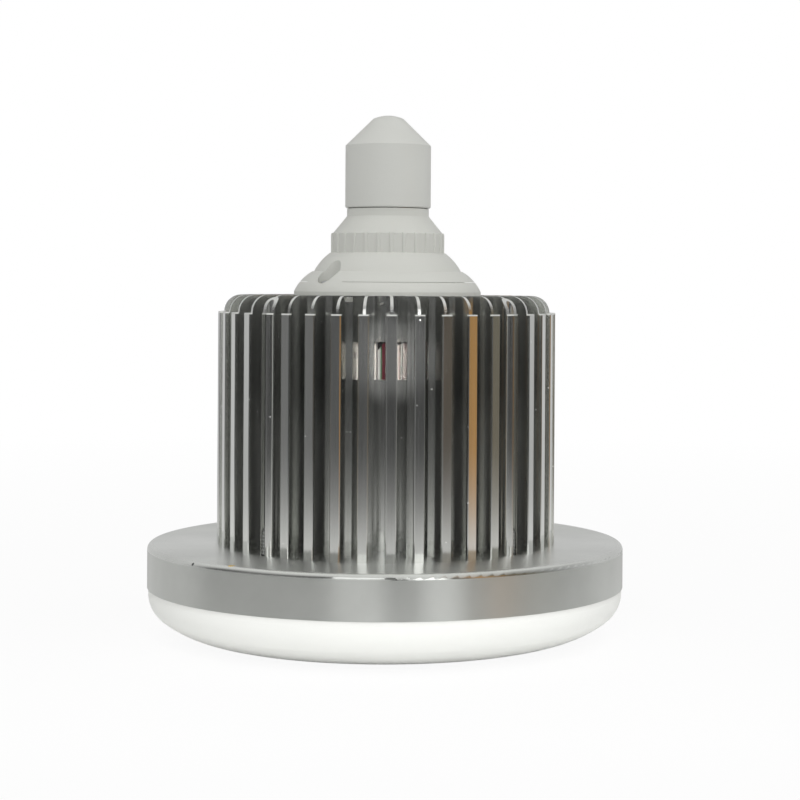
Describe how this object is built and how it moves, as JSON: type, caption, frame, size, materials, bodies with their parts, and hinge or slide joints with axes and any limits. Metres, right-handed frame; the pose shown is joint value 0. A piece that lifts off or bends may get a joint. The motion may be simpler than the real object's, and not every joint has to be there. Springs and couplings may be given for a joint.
{
  "type": "mushroom led bulb",
  "caption": "Mushroom-shaped LED bulb: screw base under a push-on cap, ribbed plastic driver housing, finned aluminium heat sink on a wide pan, opal dish diffuser.",
  "frame": {"origin": "middle of the dish's flat bottom, on the surface that the bulb stands on", "axes": "+Z along the bulb's axis to the screw base, -Y the front"},
  "size_m": [0.164, 0.164, 0.1792],
  "materials": {
    "opal_plastic": "satin",
    "spun_aluminium": "satin",
    "extruded_aluminium": "polished",
    "housing_plastic": "satin",
    "cap_plastic": "satin",
    "plated_brass": "bright",
    "black_insulator": "gloss",
    "contact_brass": "bright",
    "board_white": "white solder mask",
    "lamp_phosphor": "cast",
    "screw_steel": "zinc plated",
    "circuit_board": "satin",
    "capacitor_sleeve": "gloss",
    "red_epoxy": "gloss",
    "black_epoxy": "matt",
    "connector_plastic": "satin",
    "ferrite": "matt",
    "winding_tape": "gloss",
    "copper_winding": "enamelled",
    "resistor_ceramic": "matt",
    "red_insulation": "matt",
    "white_insulation": "matt",
    "black_insulation": "matt"
  },
  "bodies": {
    "bulb": {"diffuser": "opal_plastic", "mounting_pan": "spun_aluminium", "heat_sink": "extruded_aluminium", "driver_housing": "housing_plastic", "screw_shell": "plated_brass", "base_insulator": "black_insulator", "centre_contact": "contact_brass", "led_board": "board_white", "led_chips": "lamp_phosphor", "pan_screws": "screw_steel", "housing_screws": "screw_steel", "driver_board": "circuit_board", "smoothing_capacitor": "capacitor_sleeve", "output_capacitor": "capacitor_sleeve", "film_capacitor": "red_epoxy", "bridge_rectifier": "black_epoxy", "control_chip": "black_epoxy", "wire_connector": "connector_plastic", "transformer_core": "ferrite", "transformer_winding": "winding_tape", "input_choke": "copper_winding", "fuse_resistor": "resistor_ceramic", "live_wire": "red_insulation", "neutral_wire": "white_insulation", "negative_wire": "black_insulation", "positive_wire": "red_insulation"},
    "cap": {"base_cap": "cap_plastic"}
  },
  "joints": [
    {"name": "cap_lift", "type": "slide", "parent": "bulb", "child": "cap", "axis": [0, 0, 1], "range_m": [0, 0.035]}
  ]
}
